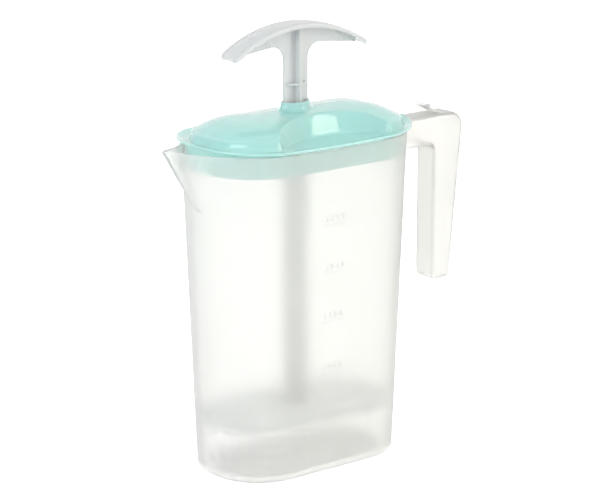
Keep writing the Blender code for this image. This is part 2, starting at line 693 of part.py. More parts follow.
clear_scene()
natural = material("natural plastic", (0.86, 0.87, 0.84), 0.42, 0.45)
mint = material("mint plastic", (0.30, 0.68, 0.62), 0.30, 0.60)
white = material("white plastic", (0.80, 0.82, 0.80), 0.38, 0.80)
build_body(natural)
build_lid(mint)
build_plunger(white)
build_disc(white)
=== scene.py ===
import math

import bmesh
import bpy
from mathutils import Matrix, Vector


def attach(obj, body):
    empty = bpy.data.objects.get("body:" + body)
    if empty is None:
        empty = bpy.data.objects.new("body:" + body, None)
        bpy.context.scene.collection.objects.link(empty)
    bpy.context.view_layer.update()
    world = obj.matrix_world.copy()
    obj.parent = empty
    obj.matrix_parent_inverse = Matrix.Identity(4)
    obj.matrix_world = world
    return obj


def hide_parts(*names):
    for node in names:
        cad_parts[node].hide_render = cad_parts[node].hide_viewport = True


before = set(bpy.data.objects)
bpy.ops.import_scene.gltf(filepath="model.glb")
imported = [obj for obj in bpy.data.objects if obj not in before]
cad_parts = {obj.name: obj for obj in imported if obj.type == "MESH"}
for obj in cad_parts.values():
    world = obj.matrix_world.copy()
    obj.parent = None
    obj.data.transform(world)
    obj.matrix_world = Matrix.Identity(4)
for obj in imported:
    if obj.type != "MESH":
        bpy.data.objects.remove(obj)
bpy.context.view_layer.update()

# Pitcher body. One injection moulding of uncoloured polypropylene: a tapered oval jug,
# its beak spout drawn out of one end and its hook handle moulded on the other, hollow,
# open under its arm and at the grip's foot. Its walls are thin enough to let light pass.
BODY_HEIGHT = 0.2377
BASE_HALF_LENGTH, BASE_HALF_WIDTH, BASE_CORNER = 0.0754, 0.0435, 0.0395
RIM_HALF_LENGTH, RIM_HALF_WIDTH, RIM_CORNER = 0.0843, 0.0510, 0.0463
LEAST_CORNER_SHARE, MOST_CORNER_SHARE = 0.60, 0.98
BODY_WALL = 0.0018
RIM_ROUND = 0.0006
RIM_STEPS = 3
FLOOR_THICKNESS = 0.0022
FOOT_ROUND = 0.0028
FOOT_STEPS = 8
INNER_FOOT_STEPS = 6
FOOT_RING_WIDTH = 0.0060
FOOT_RECESS = 0.0006
WALL_STEPS = 8
SPOUT_REACH = 0.1130
SPOUT_RISE = 0.0033
SPOUT_ROOT_HEIGHT = 0.1930
SPOUT_HALF_ANGLE = math.radians(36)
SPOUT_TIP_ROUND = 0.0014
SPOUT_ROOT_ROUND = 0.0090
SPOUT_BLEND = 0.0090
SPOUT_BLEND_START = 0.33
SPOUT_SPREAD = 0.75
SPOUT_STEPS = 22
HANDLE_WIDTH = 0.0210
HANDLE_WALL = 0.0020
HANDLE_TOP = 0.2372
HANDLE_INNER_X = 0.1190
HANDLE_OUTER_X_TOP = 0.1479
HANDLE_OUTER_X_BOTTOM = 0.1360
HANDLE_BOTTOM = 0.1120
HANDLE_ARM_DEPTH = 0.0225
HANDLE_ARM_FLARE = 0.0100
HANDLE_FLARE_SHARE = 0.9
HANDLE_CORNER = 0.0105
HANDLE_CROTCH = 0.0060
HANDLE_EDGE_ROUND = 0.0035
HANDLE_EDGE_STEPS = 8
THUMB_LIP_REACH = 0.0200
THUMB_LIP_RISE = 0.0060
THUMB_LIP_CURL = 0.0013
THUMB_LIP_CURL_TURN = math.radians(115)
THUMB_LIP_WIDTH = 0.0150
THUMB_LIP_THICKNESS = 0.0014
THUMB_LIP_ROUND = 0.0004
THUMB_LIP_STEPS = 20
THUMB_LIP_CURL_STEPS = 12
OVERRUN = 0.0030


def mix(start, end, share):
    """The value a share of the way from start to end."""
    return start + (end - start) * share


def quarter_turns(steps, first=0):
    """The turns of a rounding's steps over a quarter circle."""
    return [math.pi / 2 * k / steps for k in range(first, steps + 1)]


def arc(centre, radius, start, end, steps):
    """Points on an arc, both ends included."""
    return [(centre[0] + radius * math.cos(mix(start, end, i / steps)),
             centre[1] + radius * math.sin(mix(start, end, i / steps)))
            for i in range(steps + 1)]


def oval(half_length, half_width, corner, arc_steps=26, end_steps=8, side_steps=16):
    """A rounded rectangle, anticlockwise, evenly stepped on its arcs and straights."""
    corner = min(max(corner, half_width * LEAST_CORNER_SHARE), half_width * MOST_CORNER_SHARE)
    across, along = half_length - corner, half_width - corner
    points = []
    signs = ((1, 1), (-1, 1), (-1, -1), (1, -1))
    for quarter, (sx, sy) in enumerate(signs):
        start = quarter * math.pi / 2
        here = arc((sx * across, sy * along), corner, start, start + math.pi / 2, arc_steps)
        points += here
        nx, ny = signs[(quarter + 1) % 4]
        after = arc((nx * across, ny * along), corner, start + math.pi / 2,
                    start + math.pi, 1)[0]
        steps = end_steps if quarter in (1, 3) else side_steps
        last = here[-1]
        points += [(mix(last[0], after[0], k / steps), mix(last[1], after[1], k / steps))
                   for k in range(1, steps)]
    return points


def body_size(height, inset):
    """The jug's half length, half width and corner at a height of its tapered wall."""
    share = height / BODY_HEIGHT
    return (mix(BASE_HALF_LENGTH, RIM_HALF_LENGTH, share) - inset,
            mix(BASE_HALF_WIDTH, RIM_HALF_WIDTH, share) - inset,
            mix(BASE_CORNER, RIM_CORNER, share) - inset)


def body_ring(height, inset):
    """One ring of the jug's wall, drawn out into the spout near the top."""
    rise = max(0.0, (height - SPOUT_ROOT_HEIGHT) / (BODY_HEIGHT - SPOUT_ROOT_HEIGHT))
    root_end = body_size(SPOUT_ROOT_HEIGHT, 0.0)[0]
    reach = mix(root_end, SPOUT_REACH, rise) - inset / math.sin(SPOUT_HALF_ANGLE)
    spread = body_size(height, 0.0)[1] * SPOUT_SPREAD
    keel_round = mix(SPOUT_ROOT_ROUND, SPOUT_TIP_ROUND, min(rise, 1.0))
    ring = []
    for x, y in oval(*body_size(height, inset)):
        if rise > 0 and x < 0 and abs(y) < spread:
            side = math.hypot(y, keel_round) - keel_round
            beak = side / math.tan(SPOUT_HALF_ANGLE) - reach
            overlap = max(SPOUT_BLEND - abs(x - beak), 0.0) / SPOUT_BLEND
            blend = SPOUT_BLEND / 4 * min(1.0, rise / SPOUT_BLEND_START)
            x = min(x, beak) - overlap * overlap * blend
        out = (-x - RIM_HALF_LENGTH) / (SPOUT_REACH - RIM_HALF_LENGTH)
        out = min(1.0, max(0.0, out))
        ring.append((x, y, height + SPOUT_RISE * out * out * (3 - 2 * out) * min(rise, 1.0)))
    return ring


def skin(name, rings, closed_loop=False, smooth_angle=math.radians(35)):
    """A mesh skinned over rings of like count, its ends capped or joined."""
    built = bmesh.new()
    rows = [[built.verts.new(point) for point in ring] for ring in rings]
    count = len(rows[0])
    pairs = list(zip(rows, rows[1:]))
    if closed_loop:
        pairs.append((rows[-1], rows[0]))
    for low, high in pairs:
        for i in range(count):
            j = (i + 1) % count
            built.faces.new((low[i], low[j], high[j], high[i]))
    if not closed_loop:
        built.faces.new(rows[0])
        built.faces.new(rows[-1])
    bmesh.ops.recalc_face_normals(built, faces=built.faces)
    mesh = bpy.data.meshes.new(name)
    built.to_mesh(mesh)
    built.free()
    made = bpy.data.objects.new(name, mesh)
    bpy.context.scene.collection.objects.link(made)
    mesh.shade_smooth()
    mesh.set_sharp_from_angle(angle=smooth_angle)
    return made


def rounded_path(corners, steps=10):
    """A closed outline from (a, b, radius) corners, each rounded by an arc."""
    points = []
    count = len(corners)
    for i, (a, b, radius) in enumerate(corners):
        here = Vector((a, b))
        before = Vector(corners[i - 1][:2]) - here
        after = Vector(corners[(i + 1) % count][:2]) - here
        if radius == 0:
            points.append((a, b))
            continue
        before.normalize()
        after.normalize()
        half = before.angle(after) / 2
        centre = here + (before + after).normalized() * (radius / math.sin(half))
        first = here + before * (radius / math.tan(half)) - centre
        last = here + after * (radius / math.tan(half)) - centre
        turn = math.atan2(first.x * last.y - first.y * last.x, first.dot(last))
        start = math.atan2(first.y, first.x)
        points += arc(centre, radius, start, start + turn, steps)
    return points


def side_plate(name, points, low_y, high_y):
    """An outline in side view, given thickness across the jug."""
    return skin(name, [[(x, low_y, z) for x, z in points], [(x, high_y, z) for x, z in points]])


def settle(piece, smooth_angle=math.radians(35)):
    """Apply a piece's modifiers and refresh its smooth shading."""
    graph = bpy.context.evaluated_depsgraph_get()
    made = bpy.data.meshes.new_from_object(piece.evaluated_get(graph))
    piece.modifiers.clear()
    piece.data = made
    made.shade_smooth()
    made.set_sharp_from_angle(angle=smooth_angle)


def merge(piece, tool, operation):
    """Weld a tool body onto a piece or cut it away, and discard the tool."""
    step = piece.modifiers.new(operation.lower(), "BOOLEAN")
    step.operation = operation
    step.solver = "EXACT"
    step.object = tool
    settle(piece)
    bpy.data.objects.remove(tool, do_unlink=True)


def round_edges(piece, width, segments=2, angle=math.radians(40)):
    """Round a piece's sharp edges."""
    step = piece.modifiers.new("round edges", "BEVEL")
    step.width = width
    step.segments = segments
    step.limit_method = "ANGLE"
    step.angle_limit = angle
    settle(piece)


NATURAL_PLASTIC = (0.994, 0.992, 0.970)
POLISH_ROUGHNESS = 0.06
MILK_SPREAD, MILK_DEPTH = (1.0, 1.0, 0.9), 0.004
FLOW_SCALE, FLOW_DETAIL = 14.0, 3.0
ROUGHNESS_SWING = 0.15
PORE_SCALE, PORE_DEPTH = 900.0, 0.0002


def moulded_plastic(name, colour, see_through, milk, roughness, cloud, grain, bend=1.30, polish=0.0):
    """Translucent moulded plastic: a milky share, a see-through share, flow clouds and grain."""
    finish = bpy.data.materials.new(name)
    finish.use_nodes = True
    nodes, links = finish.node_tree.nodes, finish.node_tree.links
    shader = nodes["Principled BSDF"]
    shader.inputs["IOR"].default_value = bend
    shader.inputs["Transmission Weight"].default_value = see_through
    shader.inputs["Subsurface Weight"].default_value = milk
    shader.inputs["Coat Weight"].default_value = polish
    shader.inputs["Coat Roughness"].default_value = POLISH_ROUGHNESS
    shader.inputs["Subsurface Radius"].default_value = MILK_SPREAD
    shader.inputs["Subsurface Scale"].default_value = MILK_DEPTH
    place = nodes.new("ShaderNodeTexCoord")
    flow = nodes.new("ShaderNodeTexNoise")
    flow.inputs["Scale"].default_value = FLOW_SCALE
    flow.inputs["Detail"].default_value = FLOW_DETAIL
    links.new(place.outputs["Object"], flow.inputs["Vector"])
    shade = nodes.new("ShaderNodeMix")
    shade.data_type = "RGBA"
    shade.inputs["A"].default_value = (*[c * (1 - cloud) for c in colour], 1.0)
    shade.inputs["B"].default_value = (*colour, 1.0)
    links.new(flow.outputs["Fac"], shade.inputs["Factor"])
    links.new(shade.outputs["Result"], shader.inputs["Base Color"])
    spread = nodes.new("ShaderNodeMapRange")
    spread.inputs["To Min"].default_value = roughness * (1 - ROUGHNESS_SWING)
    spread.inputs["To Max"].default_value = roughness * (1 + ROUGHNESS_SWING)
    links.new(flow.outputs["Fac"], spread.inputs["Value"])
    links.new(spread.outputs["Result"], shader.inputs["Roughness"])
    pores = nodes.new("ShaderNodeTexNoise")
    pores.inputs["Scale"].default_value = PORE_SCALE
    links.new(place.outputs["Object"], pores.inputs["Vector"])
    bump = nodes.new("ShaderNodeBump")
    bump.inputs["Strength"].default_value = grain
    bump.inputs["Distance"].default_value = PORE_DEPTH
    links.new(pores.outputs["Fac"], bump.inputs["Height"])
    links.new(bump.outputs["Normal"], shader.inputs["Normal"])
    return finish


foot_ring_edge = body_ring(0.0, FOOT_ROUND + FOOT_RING_WIDTH)
body_rings = [[(x, y, FOOT_RECESS) for x, y, z in foot_ring_edge], foot_ring_edge]
for turn in quarter_turns(FOOT_STEPS):
    body_rings.append(body_ring(FOOT_ROUND * (1 - math.cos(turn)), FOOT_ROUND * (1 - math.sin(turn))))
wall_levels = [mix(FOOT_ROUND, SPOUT_ROOT_HEIGHT, k / WALL_STEPS) for k in range(1, WALL_STEPS + 1)]
wall_levels += [mix(SPOUT_ROOT_HEIGHT, BODY_HEIGHT - RIM_ROUND, k / SPOUT_STEPS)
                for k in range(1, SPOUT_STEPS + 1)]
body_rings += [body_ring(level, 0.0) for level in wall_levels]
for turn in quarter_turns(RIM_STEPS, 1):
    body_rings.append(body_ring(BODY_HEIGHT - RIM_ROUND * (1 - math.sin(turn)),
                                RIM_ROUND * (1 - math.cos(turn))))
for turn in reversed(quarter_turns(RIM_STEPS, 1)):
    body_rings.append(body_ring(BODY_HEIGHT - RIM_ROUND * (1 - math.sin(turn)),
                                BODY_WALL - RIM_ROUND * (1 - math.cos(turn))))
body_rings += [body_ring(level, BODY_WALL) for level in reversed(wall_levels)]
inner_foot = FOOT_ROUND - BODY_WALL
for turn in quarter_turns(INNER_FOOT_STEPS):
    body_rings.append(body_ring(FLOOR_THICKNESS + inner_foot * (1 - math.sin(turn)),
                                BODY_WALL + inner_foot * (1 - math.cos(turn))))
jug = skin("pitcher_moulding", body_rings)

arm_under = HANDLE_TOP - HANDLE_ARM_DEPTH
flare_low = arm_under - HANDLE_ARM_FLARE
root_top = RIM_HALF_LENGTH - BODY_WALL / 2
root_low = body_size(flare_low, BODY_WALL / 2)[0]
handle_half = HANDLE_WIDTH / 2
handle_sides = [(handle_half - HANDLE_EDGE_ROUND * (1 - math.sin(turn)),
                 HANDLE_EDGE_ROUND * (1 - math.cos(turn))) for turn in quarter_turns(HANDLE_EDGE_STEPS)]
handle_sides = [(-y, inset) for y, inset in reversed(handle_sides)] + handle_sides
handle_rings = []
for y, inset in handle_sides:
    inner, low = HANDLE_INNER_X + inset, HANDLE_BOTTOM + inset
    hook = rounded_path([
        (root_low, flare_low + inset, 0),
        (root_low + HANDLE_ARM_FLARE * HANDLE_FLARE_SHARE, arm_under + inset, HANDLE_CROTCH),
        (inner, arm_under + inset, HANDLE_CROTCH + inset),
        (inner, low, HANDLE_EDGE_ROUND), (HANDLE_OUTER_X_BOTTOM - inset, low, HANDLE_EDGE_ROUND),
        (HANDLE_OUTER_X_TOP - inset, HANDLE_TOP - inset, HANDLE_CORNER - inset),
        (root_top, HANDLE_TOP - inset, 0)])
    handle_rings.append([(x, y, z) for x, z in hook])
handle = skin("handle", handle_rings)
slope = (HANDLE_OUTER_X_TOP - HANDLE_OUTER_X_BOTTOM) / (HANDLE_TOP - HANDLE_BOTTOM)
hollow_top = HANDLE_TOP - HANDLE_WALL
hollow_x = RIM_HALF_LENGTH + HANDLE_WALL
arm_end = HANDLE_INNER_X - HANDLE_CROTCH
grip_x = HANDLE_INNER_X + HANDLE_WALL
hollow_outline = [(hollow_x, flare_low - OVERRUN, 0), (arm_end, flare_low - OVERRUN, 0),
                  (arm_end, arm_under + HANDLE_WALL, 0),
                  (grip_x, arm_under + HANDLE_WALL, HANDLE_EDGE_ROUND),
                  (grip_x, HANDLE_BOTTOM - OVERRUN, 0),
                  (HANDLE_OUTER_X_BOTTOM - HANDLE_WALL - slope * OVERRUN, HANDLE_BOTTOM - OVERRUN, 0),
                  (HANDLE_OUTER_X_TOP - HANDLE_WALL - slope * HANDLE_WALL, hollow_top,
                   HANDLE_CORNER - HANDLE_WALL),
                  (hollow_x, hollow_top, 0)]
hollow_half = handle_half - HANDLE_WALL
merge(handle, side_plate("hollow", rounded_path(hollow_outline), -hollow_half, hollow_half), "DIFFERENCE")

# The thumb lip on the arm's top: a thin tongue that rises toward the jug, its tip rolled up.
lip_start = HANDLE_OUTER_X_TOP - HANDLE_CORNER
lip_middle = HANDLE_TOP - THUMB_LIP_THICKNESS / 2
lip_line = [Vector((lip_start - THUMB_LIP_REACH * k / THUMB_LIP_STEPS,
                    lip_middle + THUMB_LIP_RISE * (k / THUMB_LIP_STEPS) ** 2))
            for k in range(THUMB_LIP_STEPS + 1)]
lean = math.atan2(2 * THUMB_LIP_RISE, THUMB_LIP_REACH)
curl_middle = lip_line[-1] + Vector((math.sin(lean), math.cos(lean))) * THUMB_LIP_CURL
for k in range(1, THUMB_LIP_CURL_STEPS + 1):
    turn = lean + THUMB_LIP_CURL_TURN * k / THUMB_LIP_CURL_STEPS
    lip_line.append(curl_middle - Vector((math.sin(turn), math.cos(turn))) * THUMB_LIP_CURL)
lip_under, lip_over = [], []
for k, point in enumerate(lip_line):
    along = lip_line[min(k + 1, len(lip_line) - 1)] - lip_line[max(k - 1, 0)]
    across = Vector((along.y, -along.x)).normalized() * THUMB_LIP_THICKNESS / 2
    lip_over.append(tuple(point + across))
    lip_under.append(tuple(point - across))
lip_half = THUMB_LIP_WIDTH / 2
thumb_lip = side_plate("thumb lip", lip_under + lip_over[::-1], -lip_half, lip_half)
round_edges(thumb_lip, THUMB_LIP_ROUND)
merge(handle, thumb_lip, "UNION")
merge(jug, handle, "UNION")

# Volume marks: plain numbers with a short line under each. They are cut into the mould,
# so they stand a fraction of a millimetre proud of the front wall in the same plastic.
MARKS = ((1000, 0.077), (1500, 0.115), (2000, 0.151), (2500, 0.186))
MARK_TEXT_HEIGHT = 0.0062
MARK_PROUD = 0.0004
MARK_TEXT_SPREAD = 1.5
MARK_CURVE_STEPS = 3
MARK_MIDDLE_X = -0.0025
MARK_LINE_DROP = 0.0028
MARK_LINE_LENGTH = 0.0180
MARK_LINE_WIDTH = 0.0007
MARK_LINE_STEPS = 6
wall_lean = math.atan2(RIM_HALF_WIDTH - BASE_HALF_WIDTH, BODY_HEIGHT)
for volume, height in MARKS:
    lettering = bpy.data.curves.new(f"mark {volume}", "FONT")
    lettering.body = str(volume)
    lettering.size = MARK_TEXT_HEIGHT
    lettering.align_x = "CENTER"
    lettering.extrude = MARK_PROUD
    lettering.resolution_u = MARK_CURVE_STEPS
    lettering.space_character = MARK_TEXT_SPREAD
    words = bpy.data.objects.new(f"mark {volume}", lettering)
    bpy.context.scene.collection.objects.link(words)
    words.rotation_euler = (math.pi / 2 + wall_lean, 0.0, 0.0)
    words.location = (MARK_MIDDLE_X, -body_size(height, 0.0)[1], height)
    bpy.context.view_layer.update()
    graph = bpy.context.evaluated_depsgraph_get()
    digits = bpy.data.meshes.new_from_object(words.evaluated_get(graph))
    digits.transform(words.matrix_world)
    bpy.data.objects.remove(words, do_unlink=True)
    digits.materials.clear()
    number = bpy.data.objects.new(f"number {volume}", digits)
    bpy.context.scene.collection.objects.link(number)
    line_z = height - MARK_LINE_DROP
    line_y = -body_size(line_z, 0.0)[1]
    ends = (MARK_MIDDLE_X - MARK_LINE_LENGTH / 2, MARK_MIDDLE_X + MARK_LINE_LENGTH / 2)
    bar = arc((ends[1], line_z), MARK_LINE_WIDTH / 2, -math.pi / 2, math.pi / 2, MARK_LINE_STEPS)
    bar += arc((ends[0], line_z), MARK_LINE_WIDTH / 2, math.pi / 2, 1.5 * math.pi, MARK_LINE_STEPS)
    merge(jug, number, "UNION")
    merge(jug, side_plate("line", bar, line_y - MARK_PROUD, line_y + MARK_PROUD), "UNION")

natural_plastic = moulded_plastic("natural plastic", NATURAL_PLASTIC, see_through=0.77, milk=0.5,
                                  roughness=0.34, cloud=0.01, grain=0.05)
jug.data.materials.append(natural_plastic)
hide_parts("pitcher_body")
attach(jug, "pitcher")

# Mixing disc. A perforated plate of whitish polypropylene with a rim turned down all
# round and a lens-shaped socket in its middle, pressed on the foot of the plunger's
# stem. It runs up and down in the jug and stirs what is in it.
DISC_UNDERSIDE = 0.0333
DISC_DEPTH = 0.0055
DISC_PLATE = 0.0020
DISC_WALL = 0.0016
DISC_CLEARANCE = 0.0012
DISC_EDGE_ROUND = 0.0003
DISC_HOLE_RADIUS = 0.0045
DISC_HOLE_STEPS = 32
DISC_HOLE_COLUMNS = 4
DISC_HOLE_ROWS = 2
DISC_HOLE_MARGIN = 0.0040
DISC_HOLE_END_SHARE, DISC_HOLE_SIDE_SHARE = 0.15, 0.34
DISC_BOSS_HEIGHT = 0.0022
DISC_BOSS_WALL = 0.0018
DISC_BOSS_ROUND = 0.0004
STEM_HALF_LENGTH = 0.0102
STEM_HALF_WIDTH = 0.0070
STEM_WEB = 0.0022
STEM_CLEARANCE = 0.0004
STEM_SEAT_GAP = 0.0003
LENS_POWER = 1.5
WHITE_PLASTIC = (0.930, 0.935, 0.925)


def flat(points, height):
    """Plan points laid at a height."""
    return [(x, y, height) for x, y in points]


def lens_reach(turn, half_length, half_width):
    """How far the pointed oval round the stem reaches in a direction."""
    across = abs(math.cos(turn) / half_length) ** LENS_POWER
    along = abs(math.sin(turn) / half_width) ** LENS_POWER
    return (across + along) ** (-1 / LENS_POWER)


def lens(half_length, half_width, steps=64):
    """The pointed oval round the stem's cross."""
    points = []
    for k in range(steps):
        cos, sin = math.cos(2 * math.pi * k / steps), math.sin(2 * math.pi * k / steps)
        points.append((half_length * math.copysign(abs(cos) ** (2 / LENS_POWER), cos),
                       half_width * math.copysign(abs(sin) ** (2 / LENS_POWER), sin)))
    return points


def disc_size(inset):
    """The disc's oval, which passes the foot of the tapered jug."""
    return body_size(0.0, BODY_WALL + DISC_CLEARANCE + inset)


disc_top = DISC_UNDERSIDE + DISC_DEPTH
disc_under = disc_top - DISC_PLATE
disc_rings = [flat(oval(*disc_size(DISC_WALL)), disc_under),
              flat(oval(*disc_size(DISC_WALL)), DISC_UNDERSIDE),
              flat(oval(*disc_size(0.0)), DISC_UNDERSIDE),
              flat(oval(*disc_size(0.0)), disc_top)]
disc = skin("mixing_disc_moulding", disc_rings)
round_edges(disc, DISC_EDGE_ROUND)
hole_margin = DISC_HOLE_MARGIN + DISC_HOLE_RADIUS
hole_length, hole_width, hole_corner = disc_size(DISC_WALL + hole_margin)
boss_half_length = STEM_HALF_LENGTH + STEM_CLEARANCE * 2 + DISC_BOSS_WALL
boss_half_width = STEM_HALF_WIDTH + STEM_CLEARANCE + DISC_BOSS_WALL
column_pitch = hole_length / (DISC_HOLE_COLUMNS + DISC_HOLE_END_SHARE)
row_pitch = hole_width / (DISC_HOLE_ROWS + DISC_HOLE_SIDE_SHARE)
hole_depth = DISC_DEPTH + OVERRUN * 2
holes = bmesh.new()
for row in range(-DISC_HOLE_ROWS, DISC_HOLE_ROWS + 1):
    for column in range(-DISC_HOLE_COLUMNS, DISC_HOLE_COLUMNS + 1):
        x = (column + (row % 2) / 2) * column_pitch
        y = row * row_pitch
        across = max(abs(x) - (hole_length - hole_corner), 0.0)
        along = max(abs(y) - (hole_width - hole_corner), 0.0)
        inside = (abs(x) < hole_length and abs(y) < hole_width
                  and math.hypot(across, along) < hole_corner)
        if not inside or math.hypot(x, y) < boss_half_length + hole_margin:
            continue
        made = bmesh.ops.create_cone(holes, cap_ends=True, segments=DISC_HOLE_STEPS,
                                     radius1=DISC_HOLE_RADIUS, radius2=DISC_HOLE_RADIUS,
                                     depth=hole_depth)
        bmesh.ops.translate(holes, verts=made["verts"], vec=(x, y, DISC_UNDERSIDE + DISC_DEPTH / 2))
hole_mesh = bpy.data.meshes.new("disc holes")
holes.to_mesh(hole_mesh)
holes.free()
hole_tool = bpy.data.objects.new("disc holes", hole_mesh)
bpy.context.scene.collection.objects.link(hole_tool)
merge(disc, hole_tool, "DIFFERENCE")
boss_outline = lens(boss_half_length, boss_half_width)
boss_top = disc_top + DISC_BOSS_HEIGHT
boss = skin("boss", [flat(boss_outline, DISC_UNDERSIDE), flat(boss_outline, boss_top)])
round_edges(boss, DISC_BOSS_ROUND)
merge(disc, boss, "UNION")
socket_outline = lens(STEM_HALF_LENGTH + STEM_CLEARANCE * 2, STEM_HALF_WIDTH + STEM_CLEARANCE)
socket = skin("socket", [flat(socket_outline, DISC_UNDERSIDE + DISC_PLATE),
                         flat(socket_outline, boss_top + OVERRUN)])
merge(disc, socket, "DIFFERENCE")
white_plastic = moulded_plastic("white plastic", WHITE_PLASTIC, see_through=0.0, milk=0.5,
                                roughness=0.30, cloud=0.01, grain=0.05)
disc.data.materials.append(white_plastic)
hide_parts("mixing_disc")
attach(disc, "plunger")

# Plunger handle. One moulding of frosted, whitish polypropylene: an arched T-grip, its
# long edges turned down round a thin web, on a cross-shaped stem stiffened by small
# lens-shaped gussets. The stem slides in the lid's collar.
GUSSET_HEIGHT = 0.2737
GUSSET_THICKNESS = 0.0016
GUSSET_SPACING = 0.0600
GUSSET_COUNT = 4
GRIP_TOP = 0.3180
GRIP_ARCH_RADIUS = 0.1020
GRIP_HALF_LENGTH = 0.0590
GRIP_WIDTH = 0.0205
GRIP_STRIP = 0.0024
GRIP_CROWN = 0.0008
GRIP_CROWN_STEPS, GRIP_CROWN_LAST_STEP = 20, 18
GRIP_EDGE_SHARE, GRIP_EDGE_DROP, GRIP_EDGE_EASE = 0.97, 0.0007, 0.0001
GRIP_LIP_WIDTH = 0.0018
GRIP_EDGE_DEPTH = 0.0036
GRIP_END_ROUND = 0.0050
GRIP_WEB_LOWEST = 0.2985
GRIP_WEB_HIGHEST = 0.3030
GRIP_WEB_END = 0.0520
GRIP_WEB_STEPS = 48
GRIP_THROAT = 0.0100
GRIP_RAIL_DEPTH = 0.0005
GRIP_RAIL_START, GRIP_RAIL_END = 0.60, 0.80
GRIP_STATIONS = 64
WEB_EDGE_ROUND = 0.0004
FROSTED_PLASTIC = (0.780, 0.790, 0.790)


def arch_height(x, drop):
    """The grip's arch at a distance from its middle, a drop below its top."""
    return GRIP_TOP - GRIP_ARCH_RADIUS + math.sqrt((GRIP_ARCH_RADIUS - drop) ** 2 - x * x)


grip_rings = []
for k in range(GRIP_STATIONS + 1):
    x = GRIP_HALF_LENGTH * math.sin(math.pi / 2 * (2 * k / GRIP_STATIONS - 1))
    gone = GRIP_END_ROUND - min(GRIP_HALF_LENGTH - abs(x), GRIP_END_ROUND)
    half = GRIP_WIDTH / 2 - GRIP_END_ROUND + math.sqrt(GRIP_END_ROUND ** 2 - gone ** 2)
    half = max(half, GRIP_WIDTH / 2 - GRIP_END_ROUND + GRIP_LIP_WIDTH)
    inner = half - GRIP_LIP_WIDTH
    edge_y = half * GRIP_EDGE_SHARE
    edge_drop, edge_ease = GRIP_CROWN + GRIP_EDGE_DROP, GRIP_CROWN + GRIP_EDGE_EASE
    section = [(-half, GRIP_EDGE_DEPTH), (-half, edge_drop), (-edge_y, edge_ease)]
    for j in range(-GRIP_CROWN_LAST_STEP, GRIP_CROWN_LAST_STEP + 1):
        side = j / GRIP_CROWN_STEPS
        rail = GRIP_RAIL_DEPTH if GRIP_RAIL_START < abs(side) < GRIP_RAIL_END else 0.0
        section.append((half * side, GRIP_CROWN * side * side + rail))
    section += [(edge_y, edge_ease), (half, edge_drop), (half, GRIP_EDGE_DEPTH),
                (inner, GRIP_EDGE_DEPTH), (inner, GRIP_STRIP), (-inner, GRIP_STRIP),
                (-inner, GRIP_EDGE_DEPTH)]
    tilt = math.asin(x / GRIP_ARCH_RADIUS)
    grip_rings.append([((GRIP_ARCH_RADIUS - drop) * math.sin(tilt), y,
                        GRIP_TOP - GRIP_ARCH_RADIUS + (GRIP_ARCH_RADIUS - drop) * math.cos(tilt))
                       for y, drop in section])
grip_strip = skin("grip strip", grip_rings)

stem_foot = DISC_UNDERSIDE + DISC_PLATE + STEM_SEAT_GAP
sunk = GRIP_STRIP / 2
web_end_top = arch_height(GRIP_WEB_END, sunk)
web_outline = [(STEM_HALF_LENGTH, stem_foot, 0), (STEM_HALF_LENGTH, GRIP_WEB_HIGHEST, GRIP_THROAT),
               (GRIP_WEB_END, GRIP_WEB_LOWEST, 0), (GRIP_WEB_END, web_end_top, 0)]
for k in range(1, GRIP_WEB_STEPS):
    x = mix(GRIP_WEB_END, -GRIP_WEB_END, k / GRIP_WEB_STEPS)
    web_outline.append((x, arch_height(x, sunk), 0))
web_outline += [(-GRIP_WEB_END, web_end_top, 0), (-GRIP_WEB_END, GRIP_WEB_LOWEST, 0),
                (-STEM_HALF_LENGTH, GRIP_WEB_HIGHEST, GRIP_THROAT), (-STEM_HALF_LENGTH, stem_foot, 0)]
plunger = side_plate("plunger_moulding", rounded_path(web_outline), -STEM_WEB / 2, STEM_WEB / 2)
round_edges(plunger, WEB_EDGE_ROUND)
cross_top = arch_height(STEM_WEB, sunk)
cross_outline = [(-STEM_WEB / 2, -STEM_HALF_WIDTH), (STEM_WEB / 2, -STEM_HALF_WIDTH),
                 (STEM_WEB / 2, STEM_HALF_WIDTH), (-STEM_WEB / 2, STEM_HALF_WIDTH)]
cross_web = skin("cross web", [flat(cross_outline, stem_foot), flat(cross_outline, cross_top)])
round_edges(cross_web, WEB_EDGE_ROUND)
merge(plunger, cross_web, "UNION")
merge(plunger, grip_strip, "UNION")
gusset_outline = lens(STEM_HALF_LENGTH - STEM_WEB / 4, STEM_HALF_WIDTH - STEM_WEB / 4)
for k in range(GUSSET_COUNT):
    gusset_z = GUSSET_HEIGHT - GUSSET_SPACING * k
    gusset = skin("gusset", [flat(gusset_outline, gusset_z),
                             flat(gusset_outline, gusset_z + GUSSET_THICKNESS)])
    merge(plunger, gusset, "UNION")
frosted_plastic = moulded_plastic("frosted plastic", FROSTED_PLASTIC, see_through=0.30, milk=0.5,
                                  roughness=0.28, cloud=0.03, grain=0.10, bend=1.45)
plunger.data.materials.append(frosted_plastic)
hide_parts("plunger_handle")
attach(plunger, "plunger")

